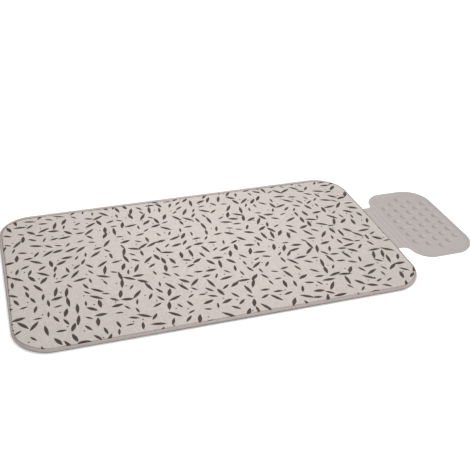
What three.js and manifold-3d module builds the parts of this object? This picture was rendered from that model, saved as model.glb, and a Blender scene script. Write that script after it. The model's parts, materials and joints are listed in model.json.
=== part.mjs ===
// An ironing pad: a padded cotton blanket with a bound edge, and a silicone rest sewn on
// under the middle of one short edge. The rest folds up over the blanket on the thin grooves
// between the broad ribs of its neck.
// Millimetres, +Z up. The origin is the middle of the blanket's underside, on the table, and
// the rest lies towards +X.

import * as THREE from "three";
import { mergeVertices } from "three/addons/utils/BufferGeometryUtils.js";
import Module from "manifold-3d";

// Blanket, measured over its bound edge
const PAD_LENGTH = 1200;
const PAD_WIDTH = 650;
const PAD_CORNER_RADIUS = 103;

// Layers of the blanket from the table up, at their full loft in the middle
const BASE_THICKNESS = 0.5;
const FELT_THICKNESS = 4;
const FOAM_THICKNESS = 5;
const COVER_THICKNESS = 0.5;

// Bound edge: a tape folded round the squeezed layers, seen in section as two half ellipses
const BINDING_WIDTH = 12.5;
const BINDING_TAPE = 0.8;
const EDGE_HEIGHT = 8.8;
const EDGE_MIDDLE = 3.2;
const LAYER_CUT_BACK = 4;
const SHOULDER_RUN = 45;
const UNDERSIDE_RUN = 30;

// Padding that swells up beside the ditch of the seam
const SEAM_DITCH = 1;
const SEAM_SWELL = 1.6;
const SWELL_RUN = 3;

// Sewing thread, and the room left between pieces that touch
const THREAD_DIAMETER = 0.6;
const SEAM_CLEARANCE = 0.3;
const THREAD_CLEARANCE = 0.05;

// Silicone rest: its place along the short edge, and its outline in plan
const REST_OFFSET = -13;
const NECK_WIDTH = 238;
const NECK_LENGTH = 42.6;
const NECK_FILLET = 21;
const PLATE_WIDTH = 378;
const PLATE_LENGTH = 219.2;
const PLATE_NEAR_CORNER = 61;
const PLATE_FAR_CORNER = 80;
const TONGUE_DEPTH = 20;
const TONGUE_CORNER = 8;

// Section of the rest: thin grooves, broad ribs between them, and a thicker plate
const GROOVE_THICKNESS = 1.6;
const RIB_RISE = 0.35;
const RIB_PITCH = 17.4;
const NECK_RIBS = 3;
const FIRST_GROOVE = 4.5;
const GROOVE_GAP = 0.8;
const PLATE_RAMP = 40;
const RIM_HEIGHT = 3.4;
const RIM_WIDTH = 13;
const RIM_CREST = 4;
const POCKET_FLOOR = 2.4;

// Field of domes that stand up from the pocket of the plate
const DOME_DIAMETER = 23;
const DOME_RISE = 2.6;
const DOME_PITCH = 40;
const DOME_COLUMN_PITCH = 36.5;
const DOME_FIELD_START = 81;
const DOME_COLUMNS = [6, 7, 8, 7, 6];

// Sewing line of the rest, in a groove moulded under its tongue
const SEWING_INSET = 9;
const SEWING_GROOVE_WIDTH = 1.4;
const SEWING_GROOVE_DEPTH = 0.8;

// The blanket rises where it lies over the tongue and comes down beside it
const TONGUE_SIDE_MARGIN = 6;
const TONGUE_SIDE_FADE = 52;
const TONGUE_END_MARGIN = 3;

// Fineness of the facets
const CORNER_STEPS = 8;
const FOLD_STEPS = 6;
const ARC_STEPS = 10;
const RIB_STEPS = 8;
const RAMP_STEPS = 12;
const DOME_SIDES = 12;
const DOME_RINGS = 4;
const THREAD_SIDES = 6;

const PAD_THICKNESS = BASE_THICKNESS + FELT_THICKNESS + FOAM_THICKNESS + COVER_THICKNESS;
const FLAT_INSET = BINDING_WIDTH + SHOULDER_RUN;
const PAD_END = PAD_LENGTH / 2;
const PLATE_START = PAD_END + NECK_LENGTH;
const PLATE_END = PLATE_START + PLATE_LENGTH;
const TONGUE_LIFT = GROOVE_THICKNESS + SEAM_CLEARANCE;

const wasm = await Module();
wasm.setup();

const smooth = (t) => {
  const u = THREE.MathUtils.clamp(t, 0, 1);
  return u * u * (3 - 2 * u);
};

// Places along the rest's short edge where the blanket's rise begins, is half done and is full
const riseStations = [1, 0.5, 0].map((share) => {
  return NECK_WIDTH / 2 + TONGUE_SIDE_MARGIN + TONGUE_SIDE_FADE * share;
});

// Height by which the blanket is carried over the tongue at a point in plan
function tongueRise(x, y) {
  const beside = Math.abs(y - REST_OFFSET) - NECK_WIDTH / 2 - TONGUE_SIDE_MARGIN;
  const behind = PAD_END - x - TONGUE_DEPTH - TONGUE_END_MARGIN;
  const run = FLAT_INSET - TONGUE_DEPTH - TONGUE_END_MARGIN;
  return TONGUE_LIFT * (1 - smooth(beside / TONGUE_SIDE_FADE)) * (1 - smooth(behind / run));
}

// One turn round the blanket in plan, a given distance inside its bound edge
function blanketRing(inset) {
  const radius = Math.max(PAD_CORNER_RADIUS - inset, 1);
  const centreX = PAD_END - inset - radius;
  const centreY = PAD_WIDTH / 2 - inset - radius;
  const before = riseStations.map((offset) => REST_OFFSET - offset);
  const after = riseStations.map((offset) => REST_OFFSET + offset).reverse();
  const ring = [...before, ...after].map((y) => [PAD_END - inset, y]);
  const corners = [[1, 1], [-1, 1], [-1, -1], [1, -1]];
  corners.forEach(([sideX, sideY], quarter) => {
    for (let step = 0; step <= CORNER_STEPS; step++) {
      const angle = (quarter + step / CORNER_STEPS) * (Math.PI / 2);
      const x = sideX * centreX + radius * Math.cos(angle);
      const y = sideY * centreY + radius * Math.sin(angle);
      ring.push([x, y]);
    }
  });
  return ring;
}

// Underside and top of the layers at a distance inside the edge: squeezed in the fold of the
// tape, then swelling to the full loft
function stackEnvelope(inset) {
  const lowest = EDGE_MIDDLE - BINDING_TAPE - SEAM_CLEARANCE;
  const highest = EDGE_HEIGHT - EDGE_MIDDLE - BINDING_TAPE - SEAM_CLEARANCE;
  const reach = BINDING_WIDTH - BINDING_TAPE - SEAM_CLEARANCE;
  const across = Math.max(BINDING_WIDTH - inset, 0) / reach;
  const squeeze = Math.sqrt(1 - across * across);
  const crown = (run) => 1 - (1 - THREE.MathUtils.clamp((inset - BINDING_WIDTH) / run, 0, 1)) ** 2;
  const seamUnder = EDGE_MIDDLE - lowest * squeeze;
  const seamTop = EDGE_MIDDLE + highest * squeeze;
  const under = seamUnder * (1 - crown(UNDERSIDE_RUN));
  const shoulder = seamTop + (PAD_THICKNESS - seamTop) * crown(SHOULDER_RUN);
  const swell = SEAM_SWELL * smooth((inset - BINDING_WIDTH - SEAM_DITCH) / SWELL_RUN);
  return [under, shoulder + swell * (1 - crown(SHOULDER_RUN))];
}

// Heights of the five faces between which the four layers lie
function layerLevels(inset) {
  const [under, top] = stackEnvelope(inset);
  const padding = top - under - BASE_THICKNESS - COVER_THICKNESS;
  const felt = (padding * FELT_THICKNESS) / (FELT_THICKNESS + FOAM_THICKNESS);
  const baseTop = under + BASE_THICKNESS;
  return [under, baseTop, baseTop + felt, top - COVER_THICKNESS, top];
}

const layerInsets = [
  LAYER_CUT_BACK,
  (LAYER_CUT_BACK + BINDING_WIDTH) / 2,
  BINDING_WIDTH,
  ...[0, 0.5, 1].map((share) => BINDING_WIDTH + SEAM_DITCH + SWELL_RUN * share),
  ...[0.4, 1].map((share) => BINDING_WIDTH + SHOULDER_RUN * share),
];

// Skin through rows of points of equal length, each row closed on itself. Every diagonal runs the
// same way from an outer row to an inner one, so that two layers share the face between them.
function skinRows(rows, closed) {
  const count = rows[0].length;
  const positions = rows.flat(2);
  const index = [];
  const bands = closed ? rows.length : rows.length - 1;
  for (let band = 0; band < bands; band++) {
    const above = (band + 1) % rows.length;
    const low = band * count;
    const high = above * count;
    const outward = rows[above][0][0] > rows[band][0][0];
    for (let i = 0; i < count; i++) {
      const next = (i + 1) % count;
      const turn = outward ? high + i : high + next;
      const back = outward ? low + next : low + i;
      index.push(low + i, low + next, turn);
      index.push(back, high + next, high + i);
    }
  }
  if (!closed) {
    const last = (rows.length - 1) * count;
    for (let i = 1; i < count - 1; i++) {
      index.push(0, i + 1, i);
      index.push(last, last + i, last + i + 1);
    }
  }
  const geometry = new THREE.BufferGeometry();
  geometry.setAttribute("position", new THREE.Float32BufferAttribute(positions, 3));
  geometry.setIndex(index);
  return geometry;
}

// Row of points round the blanket at one inset and height, carried over the tongue
function ringRow([inset, z]) {
  return blanketRing(inset).map(([x, y]) => [x, y, z + tongueRise(x, y)]);
}

// Layer number 0 is the base cloth and number 3 the cover
function layerGeometry(layer) {
  const inward = layerInsets.map((inset) => [inset, layerLevels(inset)[layer + 1]]);
  const outward = layerInsets.map((inset) => [inset, layerLevels(inset)[layer]]).reverse();
  return skinRows([...outward, ...inward].map(ringRow), false);
}

// Tape folded round the edge: an outer and an inner half ellipse joined by its two cut edges
function bindingGeometry() {
  const fold = (gauge, turn) => {
    const half = turn < 0 ? EDGE_MIDDLE : EDGE_HEIGHT - EDGE_MIDDLE;
    const inset = BINDING_WIDTH - (BINDING_WIDTH - gauge) * Math.cos(turn);
    return [inset, EDGE_MIDDLE + (half - gauge) * Math.sin(turn)];
  };
  const turns = [];
  for (let step = -FOLD_STEPS; step <= FOLD_STEPS; step++) {
    turns.push((step / FOLD_STEPS) * (Math.PI / 2));
  }
  const outer = turns.map((turn) => fold(0, turn));
  const inner = turns.map((turn) => fold(BINDING_TAPE, turn)).reverse();
  return skinRows([...outer, ...inner].map(ringRow), true);
}

// Thread laid all round in the ditch beside the tape, above the cover or under the base cloth
function ditchThreadGeometry(above) {
  const radius = THREAD_DIAMETER / 2;
  const inset = BINDING_WIDTH + THREAD_CLEARANCE + radius;
  const [under] = stackEnvelope(inset - radius);
  const [, top] = stackEnvelope(inset + radius);
  const [underInner] = stackEnvelope(inset + radius);
  const middle = above
    ? top + THREAD_CLEARANCE + radius
    : Math.min(under, underInner) - THREAD_CLEARANCE - radius;
  const section = [];
  for (let side = 0; side < THREAD_SIDES; side++) {
    const angle = (side / THREAD_SIDES) * 2 * Math.PI;
    section.push([inset - radius * Math.cos(angle), middle + radius * Math.sin(angle)]);
  }
  return skinRows(section.map(ringRow), true);
}

// Closed geometry to a solid that can be joined and cut, and back
function toSolid(geometry) {
  const bare = geometry.clone();
  bare.deleteAttribute("normal");
  bare.deleteAttribute("uv");
  const merged = mergeVertices(bare, 1e-4);
  const mesh = new wasm.Mesh({
    numProp: 3,
    vertProperties: merged.attributes.position.array,
    triVerts: new Uint32Array(merged.index.array),
  });
  return new wasm.Manifold(mesh);
}

function toGeometry(solid) {
  const mesh = solid.getMesh();
  const geometry = new THREE.BufferGeometry();
  geometry.setAttribute("position", new THREE.BufferAttribute(mesh.vertProperties, 3));
  geometry.setIndex(new THREE.BufferAttribute(mesh.triVerts, 1));
  return geometry;
}

// Outline in plan drawn up from one height to another
function upright(shape, from, to) {
  const options = { depth: to - from, bevelEnabled: false, curveSegments: ARC_STEPS };
  return new THREE.ExtrudeGeometry(shape, options).translate(0, 0, from);
}

// Section in X and Z drawn out across a width that is centred on Y = 0
function crosswise(points, width) {
  const shape = new THREE.Shape(points.map(([x, z]) => new THREE.Vector2(x, z)));
  const options = { depth: width, bevelEnabled: false };
  const geometry = new THREE.ExtrudeGeometry(shape, options);
  return geometry.rotateX(Math.PI / 2).translate(0, width / 2, 0);
}

function arc(x, y, radius, from, to) {
  const points = [];
  for (let step = 0; step <= ARC_STEPS; step++) {
    const angle = from + ((to - from) * step) / ARC_STEPS;
    points.push([x + radius * Math.cos(angle), y + radius * Math.sin(angle)]);
  }
  return points;
}

// Outline of the rest from the blanket's edge round to the far end, mirrored across Y = 0. The
// neck's fillet sweeps straight into the plate's near corner where there is no room between them.
function restOutline() {
  const neck = NECK_WIDTH / 2;
  const plate = PLATE_WIDTH / 2;
  const span = NECK_FILLET + PLATE_NEAR_CORNER;
  const overlap = Math.max(span - (plate - neck), 0);
  const turn = Math.acos(overlap / span);
  const cornerX = PLATE_START + PLATE_NEAR_CORNER;
  const filletX = cornerX - span * Math.sin(turn);
  const farX = PLATE_END - PLATE_FAR_CORNER;
  const quarter = Math.PI / 2;
  const down = 3 * quarter;
  const fillet = arc(filletX, -neck - NECK_FILLET, NECK_FILLET, quarter, quarter - turn);
  const corner = arc(cornerX, PLATE_NEAR_CORNER - plate, PLATE_NEAR_CORNER, down - turn, down);
  const far = arc(farX, PLATE_FAR_CORNER - plate, PLATE_FAR_CORNER, down, 4 * quarter);
  const half = [[PAD_END, -neck], ...fillet, ...corner.slice(overlap > 0 ? 1 : 0), ...far];
  const mirrored = half.map(([x, y]) => [x, -y]).reverse();
  return new THREE.Shape([...half, ...mirrored].map(([x, y]) => new THREE.Vector2(x, y)));
}

// Rectangle in plan with its own corner radius at the near and at the far end
function roundedPanel(near, far, width, nearCorner, farCorner) {
  const half = width / 2;
  const shape = new THREE.Shape();
  shape.absarc(near + nearCorner, nearCorner - half, nearCorner, Math.PI, 1.5 * Math.PI, false);
  shape.absarc(far - farCorner, farCorner - half, farCorner, 1.5 * Math.PI, 2 * Math.PI, false);
  shape.absarc(far - farCorner, half - farCorner, farCorner, 0, Math.PI / 2, false);
  shape.absarc(near + nearCorner, half - nearCorner, nearCorner, Math.PI / 2, Math.PI, false);
  return shape;
}

const grooveX = (number) => PAD_END + FIRST_GROOVE + RIB_PITCH * number;

// Top of the rest at a place along X: full at each rib's crest, thin at each groove, and from
// the last hinge on climbing to the rim
function restTop(x) {
  const phase = (Math.PI * (x - grooveX(0))) / RIB_PITCH;
  const rib = x < grooveX(NECK_RIBS + 1) ? RIB_RISE * Math.sin(phase) ** 2 : 0;
  const climb = smooth((x - grooveX(NECK_RIBS)) / PLATE_RAMP);
  return GROOVE_THICKNESS + rib + (RIM_HEIGHT - GROOVE_THICKNESS) * climb;
}

function topLine(from, to, steps) {
  const points = [];
  for (let step = 0; step <= steps; step++) {
    const x = from + ((to - from) * step) / steps;
    points.push([x, restTop(x)]);
  }
  return points;
}

const restBlank = toSolid(upright(restOutline(), 0, RIM_HEIGHT));

// One broad rib of the neck between two grooves
function ribGeometry(number) {
  const from = grooveX(number) + GROOVE_GAP / 2;
  const to = grooveX(number + 1) - GROOVE_GAP / 2;
  const section = [[from, 0], [to, 0], ...topLine(from, to, RIB_STEPS).reverse()];
  return toGeometry(restBlank.intersect(toSolid(crosswise(section, PLATE_WIDTH))));
}

function domeSolid(x, y) {
  const radius = DOME_DIAMETER / 2;
  const root = POCKET_FLOOR - GROOVE_THICKNESS;
  const profile = [new THREE.Vector2(0, root), new THREE.Vector2(radius, root)];
  for (let ring = 0; ring <= DOME_RINGS; ring++) {
    const turn = (ring / DOME_RINGS) * (Math.PI / 2);
    const height = POCKET_FLOOR + DOME_RISE * Math.sin(turn);
    profile.push(new THREE.Vector2(radius * Math.cos(turn), height));
  }
  profile[profile.length - 1].x = 0;
  const dome = new THREE.LatheGeometry(profile, DOME_SIDES);
  return toSolid(dome.rotateX(Math.PI / 2).translate(x, y, 0));
}

// One turn round the plate in plan, a given distance inside its edge
function plateRing(inset, z) {
  const half = PLATE_WIDTH / 2;
  const quarter = Math.PI / 2;
  const nearX = PLATE_START + PLATE_NEAR_CORNER;
  const farX = PLATE_END - PLATE_FAR_CORNER;
  const nearY = half - PLATE_NEAR_CORNER;
  const farY = half - PLATE_FAR_CORNER;
  const nearRadius = PLATE_NEAR_CORNER - inset;
  const farRadius = PLATE_FAR_CORNER - inset;
  const ring = [
    ...arc(nearX, -nearY, nearRadius, 2 * quarter, 3 * quarter),
    ...arc(farX, -farY, farRadius, 3 * quarter, 4 * quarter),
    ...arc(farX, farY, farRadius, 0, quarter),
    ...arc(nearX, nearY, nearRadius, quarter, 2 * quarter),
  ];
  return ring.map(([x, y]) => [x, y, z]);
}

// Plate of the rest: one more rib at its neck, a rim that slopes down to a shallow pocket, and
// the field of domes
function plateGeometry() {
  const from = grooveX(NECK_RIBS) + GROOVE_GAP / 2;
  const rampEnd = grooveX(NECK_RIBS) + PLATE_RAMP;
  const section = [
    [from, 0], [PLATE_END, 0], [PLATE_END, RIM_HEIGHT], ...topLine(from, rampEnd, RAMP_STEPS).reverse(),
  ];
  const pocket = [
    plateRing(RIM_WIDTH, POCKET_FLOOR),
    plateRing(RIM_CREST, RIM_HEIGHT),
    plateRing(RIM_CREST, RIM_HEIGHT + DOME_RISE),
  ];
  let plate = restBlank.intersect(toSolid(crosswise(section, PLATE_WIDTH)));
  plate = plate.subtract(toSolid(skinRows(pocket, false)));
  DOME_COLUMNS.forEach((count, column) => {
    const x = PAD_END + DOME_FIELD_START + DOME_COLUMN_PITCH * column;
    for (let row = 0; row < count; row++) {
      plate = plate.add(domeSolid(x, DOME_PITCH * (row - (count - 1) / 2)));
    }
  });
  return toGeometry(plate);
}

// Tongue that reaches in under the bound edge, with the sewing groove along its underside
function tongueGeometry() {
  const near = PAD_END - TONGUE_DEPTH;
  const far = grooveX(0) - GROOVE_GAP / 2;
  const sew = PAD_END - SEWING_INSET;
  const half = SEWING_GROOVE_WIDTH / 2;
  const section = [
    [near, 0], [sew - half, 0], [sew - half, SEWING_GROOVE_DEPTH], [sew + half, SEWING_GROOVE_DEPTH],
    [sew + half, 0], [far, 0], [far, GROOVE_THICKNESS], [near, GROOVE_THICKNESS],
  ];
  const plan = roundedPanel(near, far + TONGUE_CORNER, NECK_WIDTH, TONGUE_CORNER, 1);
  const blank = toSolid(upright(plan, 0, GROOVE_THICKNESS));
  return toGeometry(blank.intersect(toSolid(crosswise(section, PLATE_WIDTH))));
}

// Thread that sews the tongue on, sunk in its groove so that it clears the table
function tongueThreadGeometry() {
  const radius = THREAD_DIAMETER / 2;
  const top = SEWING_GROOVE_DEPTH - THREAD_CLEARANCE;
  const section = [];
  for (let side = 0; side < THREAD_SIDES; side++) {
    const angle = (side / THREAD_SIDES) * 2 * Math.PI;
    const x = PAD_END - SEWING_INSET + radius * Math.cos(angle);
    section.push([x, top - radius + radius * Math.sin(angle)]);
  }
  return crosswise(section, NECK_WIDTH);
}

const printedCotton = new THREE.MeshStandardMaterial({ color: 0xd3c9c3, roughness: 0.9, metalness: 0 });
const paleFoam = new THREE.MeshStandardMaterial({ color: 0xe6dfc8, roughness: 0.95, metalness: 0 });
const greyFelt = new THREE.MeshStandardMaterial({ color: 0xb9b6b0, roughness: 1, metalness: 0 });
const baseCotton = new THREE.MeshStandardMaterial({ color: 0xcfcac2, roughness: 0.95, metalness: 0 });
const greyTape = new THREE.MeshStandardMaterial({ color: 0x9d928b, roughness: 0.9, metalness: 0 });
const greyThread = new THREE.MeshStandardMaterial({ color: 0x7c736d, roughness: 0.8, metalness: 0 });
const silicone = new THREE.MeshStandardMaterial({ color: 0xbab2ae, roughness: 0.55, metalness: 0 });

function named(name, geometry, material) {
  const mesh = new THREE.Mesh(geometry, material);
  mesh.name = name;
  return mesh;
}

const blanket = new THREE.Group();
blanket.add(named("base_cloth", layerGeometry(0), baseCotton));
blanket.add(named("felt_layer", layerGeometry(1), greyFelt));
blanket.add(named("foam_layer", layerGeometry(2), paleFoam));
blanket.add(named("top_cover", layerGeometry(3), printedCotton));
blanket.add(named("edge_binding", bindingGeometry(), greyTape));
blanket.add(named("binding_needle_thread", ditchThreadGeometry(true), greyThread));
blanket.add(named("binding_bobbin_thread", ditchThreadGeometry(false), greyThread));

const rest = new THREE.Group();
rest.position.y = REST_OFFSET;
rest.add(named("rest_tongue", tongueGeometry(), silicone));
rest.add(named("tongue_thread", tongueThreadGeometry(), greyThread));
for (let number = 0; number < NECK_RIBS; number++) {
  rest.add(named(`neck_rib_${number + 1}`, ribGeometry(number), silicone));
}
rest.add(named("rest_plate", plateGeometry(), silicone));

const ironingPad = new THREE.Group();
ironingPad.add(blanket, rest);

export default ironingPad;
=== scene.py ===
import json
import math

import bmesh
import bpy
import numpy as np
from mathutils import Matrix, Vector
from mathutils.geometry import delaunay_2d_cdt


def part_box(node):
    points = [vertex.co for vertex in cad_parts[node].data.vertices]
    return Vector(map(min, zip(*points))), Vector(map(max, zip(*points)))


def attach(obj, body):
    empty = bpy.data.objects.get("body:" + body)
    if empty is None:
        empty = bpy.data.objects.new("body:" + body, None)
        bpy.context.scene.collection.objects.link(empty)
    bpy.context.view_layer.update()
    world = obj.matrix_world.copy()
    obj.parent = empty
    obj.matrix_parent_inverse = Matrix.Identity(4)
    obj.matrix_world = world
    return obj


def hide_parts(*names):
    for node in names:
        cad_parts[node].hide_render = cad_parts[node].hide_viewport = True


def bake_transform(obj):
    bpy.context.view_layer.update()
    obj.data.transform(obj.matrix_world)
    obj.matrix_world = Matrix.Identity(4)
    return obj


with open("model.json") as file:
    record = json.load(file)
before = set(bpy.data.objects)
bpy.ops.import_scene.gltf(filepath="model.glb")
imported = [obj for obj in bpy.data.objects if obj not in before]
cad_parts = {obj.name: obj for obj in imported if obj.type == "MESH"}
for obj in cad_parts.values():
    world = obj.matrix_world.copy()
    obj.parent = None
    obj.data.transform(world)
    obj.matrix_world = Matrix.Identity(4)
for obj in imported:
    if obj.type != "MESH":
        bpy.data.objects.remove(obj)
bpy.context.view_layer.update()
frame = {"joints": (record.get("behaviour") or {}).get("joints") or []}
MM = 0.001

# Photograph's camera: place, turn and lens fitted to the blanket's four edges
CAMERA_AZIMUTH = math.radians(-17.9217)
CAMERA_ELEVATION = math.radians(34.3640)
CAMERA_ROLL = math.radians(2.1313)
CAMERA_TARGET = Vector((4.505 * MM, 104.101 * MM, 0))
CAMERA_DISTANCE = 2269.03 * MM
CAMERA_SENSOR = 36.0
CAMERA_LENS = 54.084
CAMERA_SHIFT = (0.08517, -0.00257)

# Light: a sky that is white low down and brighter on the right and in front, a broad soft key from behind
# on the right, and a pool from above
SKY_STRENGTH = 0.58
SKY_LEAN = Vector((0.65, -0.25, 0))
HORIZON_STRENGTH = 1.02
HORIZON_RISE = 0.2
KEY_STRENGTH = 1.2
KEY_SPREAD = math.radians(35)
KEY_FROM = Vector((0.60, 0.40, 0.69))
POOL_POWER = 100
POOL_SIZE = 0.5
POOL_CONE = math.radians(38)
POOL_PLACE = Vector((80 * MM, 120 * MM, 2600 * MM))

# Floor, whose glow grows outwards where the pool fades
FLOOR_TONE = 0.94
FLOOR_SIZE = 60
FLOOR_DROP = 0.4 * MM
GLOW_REACH = (0.3, 0.8)
GLOW_STRENGTH = (0.12, 0.36)

# Blanket: its plan comes from the frame, and its edge is a little fuller than the one of the solids
PAD_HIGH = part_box("edge_binding")[1]
PAD_HALF_X = PAD_HIGH.x
PAD_HALF_Y = PAD_HIGH.y
PAD_CORNER = 103 * MM
PAD_THICKNESS = 10 * MM
CLOTH = 0.5 * MM
FELT_SHARE = 4 / 9
BINDING_WIDTH = 8 * MM
BINDING_TAPE = 0.8 * MM
EDGE_HEIGHT = 8.8 * MM
EDGE_MIDDLE = 4.4 * MM
LAYER_CUT_BACK = 4 * MM
SHOULDER_RUN = 45 * MM
UNDERSIDE_RUN = 30 * MM
SEAM_CLEARANCE = 0.3 * MM
SEAM_SWELL = 1.6 * MM
SEAM_DITCH = 1 * MM
SWELL_RUN = 3 * MM
DITCH_DEPTH = 1.7 * MM
DITCH_LEAD = 1.6 * MM
DITCH_FALL = 0.8 * MM
DITCH_CLIMB = 1.4 * MM
FOAM_TRIM = 1 * MM
TRIM_RUN = 9 * MM
EDGE_RINGS = [s * MM for s in (5, 6.2)]
SEAM_RINGS = [BINDING_WIDTH + s * MM for s in (-0.6, -0.2, 0.2, 0.6, 1, 1.7, 2.4, 3.1, 4)]
SHOULDER_RINGS = [s * MM for s in (14, 17, 21, 27, 35, 45)]
SHOULDER_SHARES = (0.14, 0.24, 0.36, 0.5, 0.67, 0.83, 1)
FLAT_INSET = BINDING_WIDTH + SHOULDER_RUN
LAYER_STEP = 12 * MM
LAYER_SHARP = 40

# Where the seam runs on top: further out on the short edges, on the one without the rest only towards
# the front, and further in on the long edge at the back
ROLL = 4 * MM
TURN_IN = 7.5 * MM
ROLL_RUN = 40 * MM
ROLL_RISE = 3 * MM
ROLL_FADE_FROM = 80 * MM
ROLL_FADE_RUN = 300 * MM
FACING_FROM = 0.65
FACING_RUN = 0.3
TINY = 1e-9

# Folded tape
TAPE_STEPS = 14
TAPE_SHARP = 60
DRIFT = 0.06 * MM
DRIFT_WAVES = (23, 61)
PUCKER = 0.16 * MM
PUCKER_FROM = 0.55
LIP_BULGE = 0.6

# Silicone rest
TONGUE_LOW, TONGUE_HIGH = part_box("rest_tongue")
PLATE_LOW, PLATE_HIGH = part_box("rest_plate")
REST_Y = (TONGUE_LOW.y + TONGUE_HIGH.y) / 2
NECK_HALF = (TONGUE_HIGH.y - TONGUE_LOW.y) / 2
PLATE_HALF = (PLATE_HIGH.y - PLATE_LOW.y) / 2
PLATE_START = PAD_HALF_X + 42.6 * MM
PLATE_END = PLATE_HIGH.x
NECK_FILLET = 21 * MM
NEAR_CORNER = 61 * MM
FAR_CORNER = 80 * MM
GROOVE_X = [joint["pos_m"][0] for joint in frame["joints"]]
RIB_PITCH = GROOVE_X[1] - GROOVE_X[0]
GROOVE_THICKNESS = 1.6 * MM
RIB_RISE = 0.35 * MM
PLATE_RAMP = 40 * MM
RIM_HEIGHT = 3.4 * MM
RIM_WIDTH = 13 * MM
RIM_CREST = 4 * MM
POCKET_FLOOR = 2.4 * MM
POCKET_BLEND = 0.15 * MM
DOME_RADIUS = 11.5 * MM
DOME_RISE = 2.6 * MM
DOME_PITCH = 40 * MM
DOME_COLUMN_PITCH = 36.5 * MM
DOME_FIELD_START = PAD_HALF_X + 81 * MM
DOME_COLUMNS = (6, 7, 8, 7, 6)
DOME_POWER = 0.6
EDGE_ROUND = 0.7 * MM
LOWER_ROUND = 0.35 * MM
WEB_HALF = 3 * MM

# Meshes of the rest
SLOPE_REACH = 0.05 * MM
LEAST_LEAN = 0.15
NECK_COLUMNS = 41
NECK_ROUNDING = (0, 0.06, 0.2, 0.45, 0.75, 1.0, 1.5)
TIP_ROWS = 8
TONGUE_ROWS = 4
RIB_ROWS = 13
WEB_ROWS = 15
PLATE_STEP = 3 * MM
PLATE_ROUNDING = (0.06, 0.2, 0.45, 0.75, 1.0, 1.6)
RIM_ROWS = 6
PLATE_GRID = 5 * MM
PANEL_MARGIN = 4 * MM
OUTLINE_MARGIN = 0.5 * MM
RAMP_STEP = 1.4 * MM
RAMP_COLUMNS = 80
RAMP_MARGIN = 1.75 * MM
RAMP_CLEAR = 1.06
PANEL_CLEAR = 1.15
DOME_SIDES = 28
DOME_RINGS = (1.03, 0.97, 0.9, 0.8, 0.68, 0.54, 0.4, 0.26, 0.12)
SILICONE_SHARP = 35

# Rise of the blanket over the tongue
TONGUE_LIFT = GROOVE_THICKNESS + SEAM_CLEARANCE
TONGUE_DEPTH = PAD_HALF_X - TONGUE_LOW.x
TONGUE_SIDE_MARGIN = 6 * MM
TONGUE_SIDE_FADE = 52 * MM
TONGUE_END_MARGIN = 3 * MM
TONGUE_CORNER = 8 * MM
TONGUE_STRAIGHT = 6 * MM
SEW_X = PAD_HALF_X - 9 * MM
SEW_HALF = 0.7 * MM
SEW_DEPTH = 0.8 * MM
SEW_WALLS = (-1.1, -1, -0.98, 0.98, 1, 1.1)

# Sewing
STITCH_PITCH = 3.4 * MM
STITCH_LENGTH = 2.7 * MM
STITCH_SIDES = 6
STITCH_ROWS = 7
STITCH_DIP = 1.6
STITCH_THIN = 0.45
STITCH_INSET = 0.75 * MM
THREAD_RADIUS = 0.3 * MM
THREAD_SHARP = 70
BOBBIN_DROP = 0.33 * MM
TONGUE_SEAM_SHARE = 0.97
TONGUE_THREAD_RADIUS = 0.22 * MM

# Printed cover
MESH_STEP = 9 * MM
MESH_INSET = 54 * MM
MESH_TOLERANCE = 1e-7
COVER_STEP = 7 * MM
COVER_SHARP = 60
DRAPE_FROM = 1 * MM
DRAPE_RUN = 14 * MM
PRINT_SEED = 11
PRINT_PITCH = 35.5 * MM
PRINT_JITTER = 0.42
PRINT_ROUNDS = 4
PRINT_GAP = 0.85
PRINT_PUSH = 0.3
PRINT_MARGIN = 1 * MM
GRAINS = [(45 * MM, 10.5 * MM), (37 * MM, 12 * MM), (31 * MM, 9 * MM), (25 * MM, 7 * MM)]
GRAIN_STEPS = 7
DOT_STEPS = 10
DOT_SIZE = 5 * MM
DOT_ASIDE = 16 * MM
DOT_EVERY = 4
MARK_GAP = 1.5 * MM
SHOULDER_ZONE = 26 * MM
SHOULDER_STEP = 1.1 * MM
SHOULDER_SCALES = (0.72, 0.44, 0.18)

# Cloth simulation of the cover
SIM_STEP = 10 * MM
SIM_SCALE = 10
SIM_SLACK = 0.0006
SIM_FRAMES = 24
SIM_SEED = 5
SIM_CAP = 0.45 * MM
SIM_QUALITY = 6
SIM_STIFFNESS = 40
SIM_SHEAR = 20
SIM_BENDING = 3
RUFFLE_COUNT = 40
RUFFLE_HEIGHT = 0.04 * MM
RUFFLE_LENGTHS = (45, 130)

# Cloth: pitch of the threads, turn and relief of each weave, noise scales per metre, and the painted
# shade that darkens the tape towards its lower side
COVER_WEAVE = (0.62 * MM, 0, 0.06 * MM)
TAPE_WEAVE = (0.55 * MM, math.pi / 4, 0.07 * MM)
BASE_WEAVE = (0.9 * MM, 0, 0.1 * MM)
WEAVE_STRENGTH = 0.5
CLOTH_ROUGHNESS = 0.85
CLOUD_SCALE = 14.0
SLUB_SCALES = (480.0, 80.0)
SLUB_SHARE = 0.65
SLUB_STRENGTH = 0.6
FLECK_SCALES = (520.0, 60.0)
FLECK_SPAN = (0.4, 0.6)
FLECK_SHARE = 0.5
# Painted shade on the tape's lower side: the heights it fades over, and its darkest and full tones
PAINTED_SHADE_HEIGHTS = (3 * MM, 6.4 * MM)
PAINTED_SHADE_TONES = (0.18, 1)

# Silicone: matt, faintly cloudy and translucent, with a fine grain
SILICONE_ROUGHNESS = 0.5
SILICONE_SPECULAR = 0.4
SILICONE_SCATTER = 0.08
SILICONE_RADII = (4 * MM, 3 * MM, 2.5 * MM)
SILICONE_CLOUDS = 22.0
SILICONE_MOTTLE = 0.035
SKIN_SCALE = 2600.0
SKIN_STRENGTH = 0.12
SKIN_RELIEF = 0.05 * MM

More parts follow.
